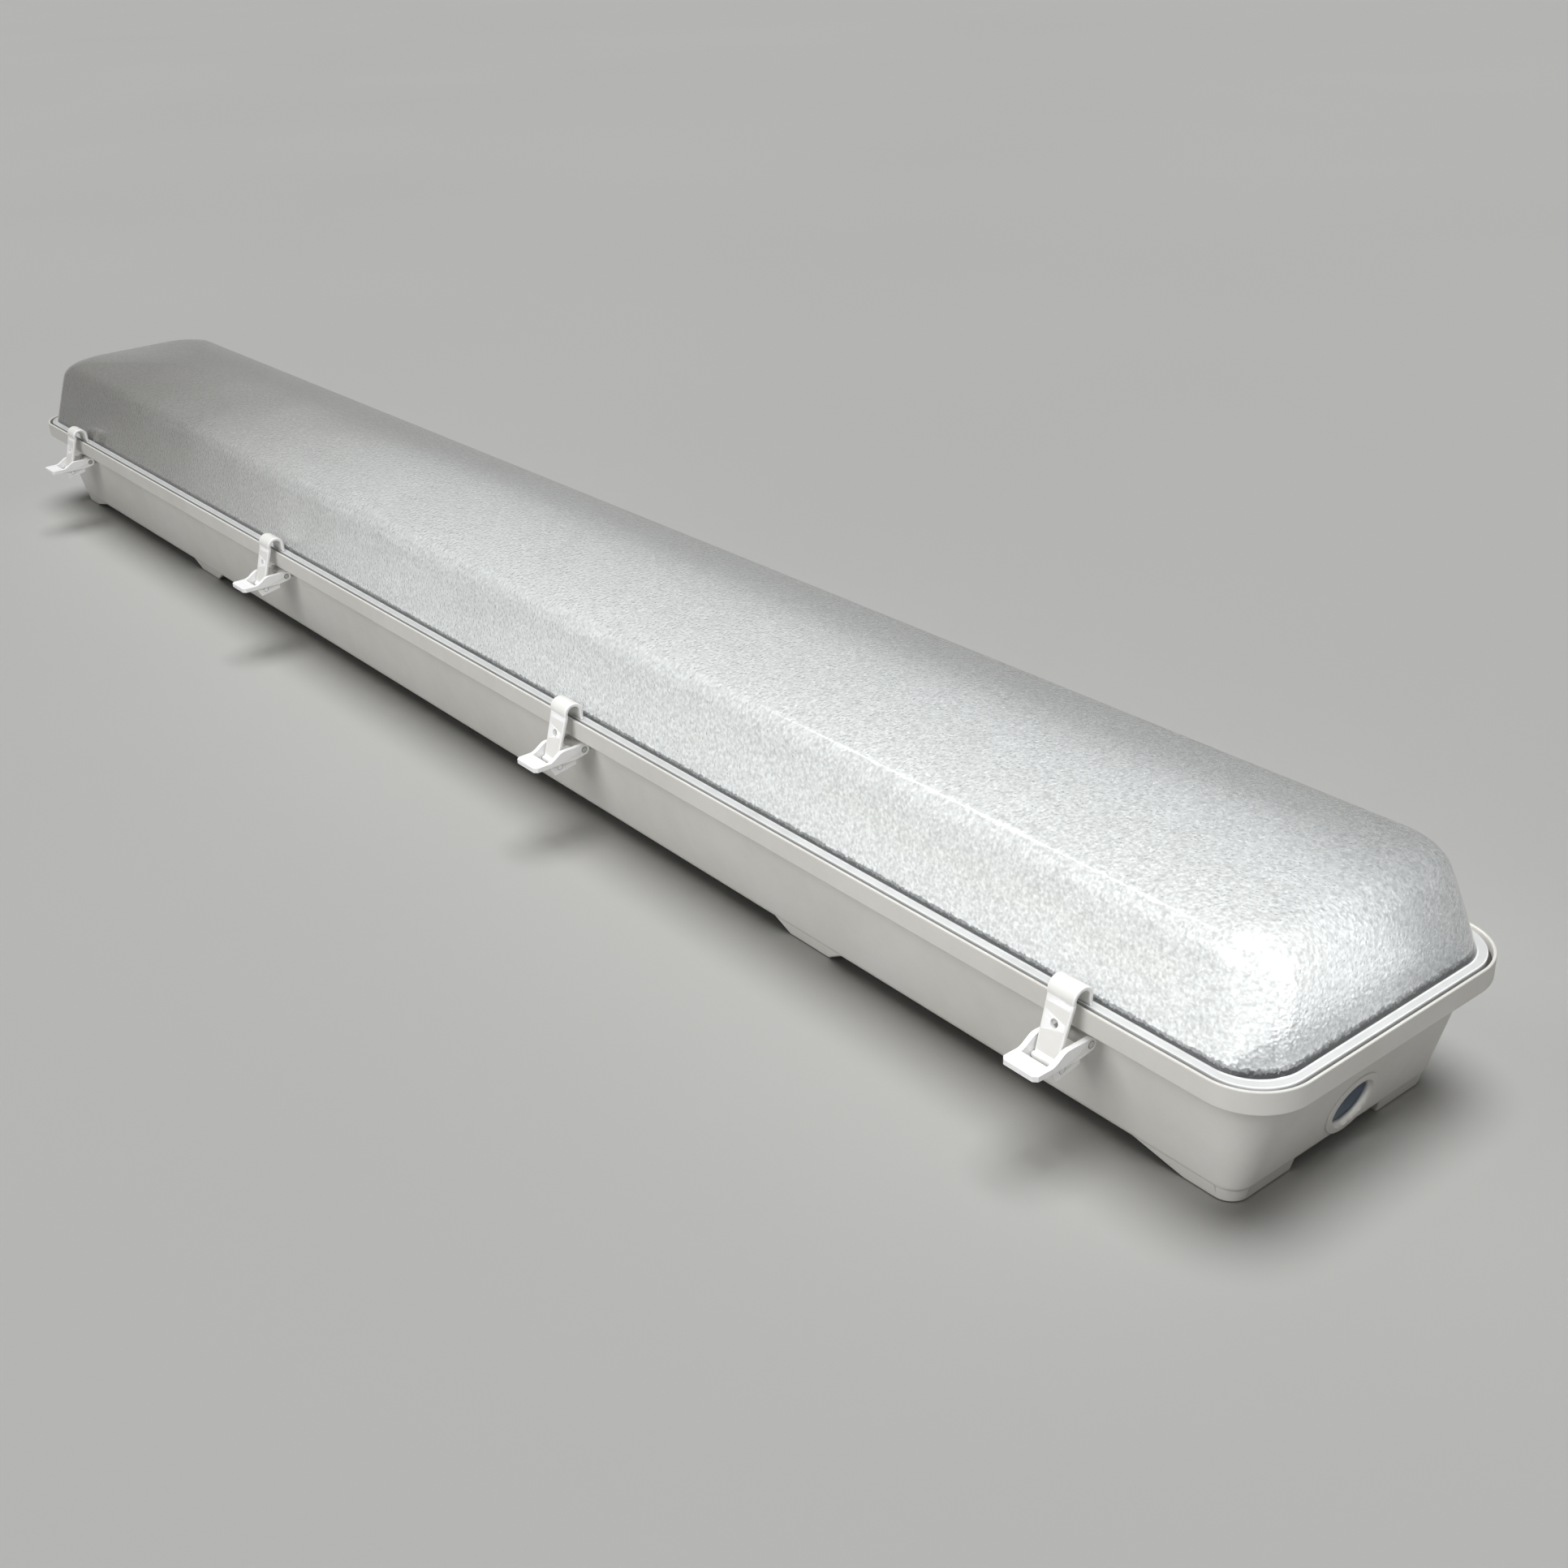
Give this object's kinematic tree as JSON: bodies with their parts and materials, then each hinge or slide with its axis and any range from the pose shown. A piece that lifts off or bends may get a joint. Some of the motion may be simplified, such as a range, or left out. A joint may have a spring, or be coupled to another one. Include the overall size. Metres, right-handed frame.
{
  "type": "vapor tight light fixture",
  "caption": "Long sealed ceiling light: moulded tub, clear arched lens on a gasket, hooked lever latches along both sides, light boards on a tray.",
  "frame": {"origin": "under the middle of the fixture, at the level its feet stand on", "axes": "+X along the length to the end with the open conduit entry, +Z from the mounting feet to the crown of the lens"},
  "size_m": [1.3, 0.224, 0.1264],
  "materials": {
    "housing_polyester": "moulded glass fibre polyester, satin",
    "gasket_foam": "matte foam",
    "clear_acrylic": "glossy outside, pebbled inside",
    "latch_plastic": "moulded, satin",
    "pin_steel": "bright",
    "tray_enamel": "white baked paint",
    "board_resist": "white solder resist",
    "driver_case": "pale satin paint",
    "terminal_plastic": "moulded",
    "white_nylon": "moulded, satin",
    "black_rubber": "matte",
    "live_cover": "smooth",
    "neutral_cover": "smooth",
    "earth_cover": "smooth",
    "plus_cover": "smooth",
    "minus_cover": "smooth"
  },
  "bodies": {
    "housing": {"housing_tub": "housing_polyester", "rim_gasket": "gasket_foam", "lens_cover": "clear_acrylic", "lever_pin_front_1": "pin_steel", "lever_pin_front_2": "pin_steel", "lever_pin_front_3": "pin_steel", "lever_pin_front_4": "pin_steel", "lever_pin_back_1": "pin_steel", "lever_pin_back_2": "pin_steel", "lever_pin_back_3": "pin_steel", "lever_pin_back_4": "pin_steel", "gear_tray": "tray_enamel", "led_board_front_near": "board_resist", "led_board_front_far": "board_resist", "led_board_back_near": "board_resist", "led_board_back_far": "board_resist", "board_link_front": "terminal_plastic", "board_link_back": "terminal_plastic", "led_driver": "driver_case", "terminal_block": "terminal_plastic", "tray_screw_1": "pin_steel", "tray_screw_2": "pin_steel", "tray_screw_3": "pin_steel", "tray_screw_4": "pin_steel", "driver_screw_near": "pin_steel", "driver_screw_far": "pin_steel", "terminal_screw": "pin_steel", "earth_screw": "pin_steel", "wire_grommet": "white_nylon", "entry_plug": "black_rubber", "live_lead": "live_cover", "neutral_lead": "neutral_cover", "earth_lead": "earth_cover", "led_lead_plus": "plus_cover", "led_lead_minus": "minus_cover"},
    "lever_front_1": {"latch_lever_front_1": "latch_plastic"},
    "strap_front_1": {"latch_strap_front_1": "latch_plastic"},
    "lever_front_2": {"latch_lever_front_2": "latch_plastic"},
    "strap_front_2": {"latch_strap_front_2": "latch_plastic"},
    "lever_front_3": {"latch_lever_front_3": "latch_plastic"},
    "strap_front_3": {"latch_strap_front_3": "latch_plastic"},
    "lever_front_4": {"latch_lever_front_4": "latch_plastic"},
    "strap_front_4": {"latch_strap_front_4": "latch_plastic"},
    "lever_back_1": {"latch_lever_back_1": "latch_plastic"},
    "strap_back_1": {"latch_strap_back_1": "latch_plastic"},
    "lever_back_2": {"latch_lever_back_2": "latch_plastic"},
    "strap_back_2": {"latch_strap_back_2": "latch_plastic"},
    "lever_back_3": {"latch_lever_back_3": "latch_plastic"},
    "strap_back_3": {"latch_strap_back_3": "latch_plastic"},
    "lever_back_4": {"latch_lever_back_4": "latch_plastic"},
    "strap_back_4": {"latch_strap_back_4": "latch_plastic"}
  },
  "joints": [
    {"name": "lever_front_1_turn", "type": "hinge", "parent": "housing", "child": "lever_front_1", "pos_m": [-0.554, -0.0805, 0.0535], "axis": [-1, 0, 0], "range_deg": [0, 30]},
    {"name": "strap_front_1_turn", "type": "hinge", "parent": "lever_front_1", "child": "strap_front_1", "pos_m": [-0.554, -0.096, 0.048], "axis": [-1, 0, 0], "range_deg": [-60, 0]},
    {"name": "lever_front_2_turn", "type": "hinge", "parent": "housing", "child": "lever_front_2", "pos_m": [-0.18467, -0.0805, 0.0535], "axis": [-1, 0, 0], "range_deg": [0, 30]},
    {"name": "strap_front_2_turn", "type": "hinge", "parent": "lever_front_2", "child": "strap_front_2", "pos_m": [-0.18467, -0.096, 0.048], "axis": [-1, 0, 0], "range_deg": [-60, 0]},
    {"name": "lever_front_3_turn", "type": "hinge", "parent": "housing", "child": "lever_front_3", "pos_m": [0.18467, -0.0805, 0.0535], "axis": [-1, 0, 0], "range_deg": [0, 30]},
    {"name": "strap_front_3_turn", "type": "hinge", "parent": "lever_front_3", "child": "strap_front_3", "pos_m": [0.18467, -0.096, 0.048], "axis": [-1, 0, 0], "range_deg": [-60, 0]},
    {"name": "lever_front_4_turn", "type": "hinge", "parent": "housing", "child": "lever_front_4", "pos_m": [0.554, -0.0805, 0.0535], "axis": [-1, 0, 0], "range_deg": [0, 30]},
    {"name": "strap_front_4_turn", "type": "hinge", "parent": "lever_front_4", "child": "strap_front_4", "pos_m": [0.554, -0.096, 0.048], "axis": [-1, 0, 0], "range_deg": [-60, 0]},
    {"name": "lever_back_1_turn", "type": "hinge", "parent": "housing", "child": "lever_back_1", "pos_m": [-0.554, 0.0805, 0.0535], "axis": [1, 0, 0], "range_deg": [0, 30]},
    {"name": "strap_back_1_turn", "type": "hinge", "parent": "lever_back_1", "child": "strap_back_1", "pos_m": [-0.554, 0.096, 0.048], "axis": [1, 0, 0], "range_deg": [-60, 0]},
    {"name": "lever_back_2_turn", "type": "hinge", "parent": "housing", "child": "lever_back_2", "pos_m": [-0.18467, 0.0805, 0.0535], "axis": [1, 0, 0], "range_deg": [0, 30]},
    {"name": "strap_back_2_turn", "type": "hinge", "parent": "lever_back_2", "child": "strap_back_2", "pos_m": [-0.18467, 0.096, 0.048], "axis": [1, 0, 0], "range_deg": [-60, 0]},
    {"name": "lever_back_3_turn", "type": "hinge", "parent": "housing", "child": "lever_back_3", "pos_m": [0.18467, 0.0805, 0.0535], "axis": [1, 0, 0], "range_deg": [0, 30]},
    {"name": "strap_back_3_turn", "type": "hinge", "parent": "lever_back_3", "child": "strap_back_3", "pos_m": [0.18467, 0.096, 0.048], "axis": [1, 0, 0], "range_deg": [-60, 0]},
    {"name": "lever_back_4_turn", "type": "hinge", "parent": "housing", "child": "lever_back_4", "pos_m": [0.554, 0.0805, 0.0535], "axis": [1, 0, 0], "range_deg": [0, 30]},
    {"name": "strap_back_4_turn", "type": "hinge", "parent": "lever_back_4", "child": "strap_back_4", "pos_m": [0.554, 0.096, 0.048], "axis": [1, 0, 0], "range_deg": [-60, 0]}
  ],
  "couplings": [
    {"joint": "strap_front_1_turn", "follows": "lever_front_1_turn", "ratio": -2},
    {"joint": "strap_front_2_turn", "follows": "lever_front_2_turn", "ratio": -2},
    {"joint": "strap_front_3_turn", "follows": "lever_front_3_turn", "ratio": -2},
    {"joint": "strap_front_4_turn", "follows": "lever_front_4_turn", "ratio": -2},
    {"joint": "strap_back_1_turn", "follows": "lever_back_1_turn", "ratio": -2},
    {"joint": "strap_back_2_turn", "follows": "lever_back_2_turn", "ratio": -2},
    {"joint": "strap_back_3_turn", "follows": "lever_back_3_turn", "ratio": -2},
    {"joint": "strap_back_4_turn", "follows": "lever_back_4_turn", "ratio": -2}
  ]
}
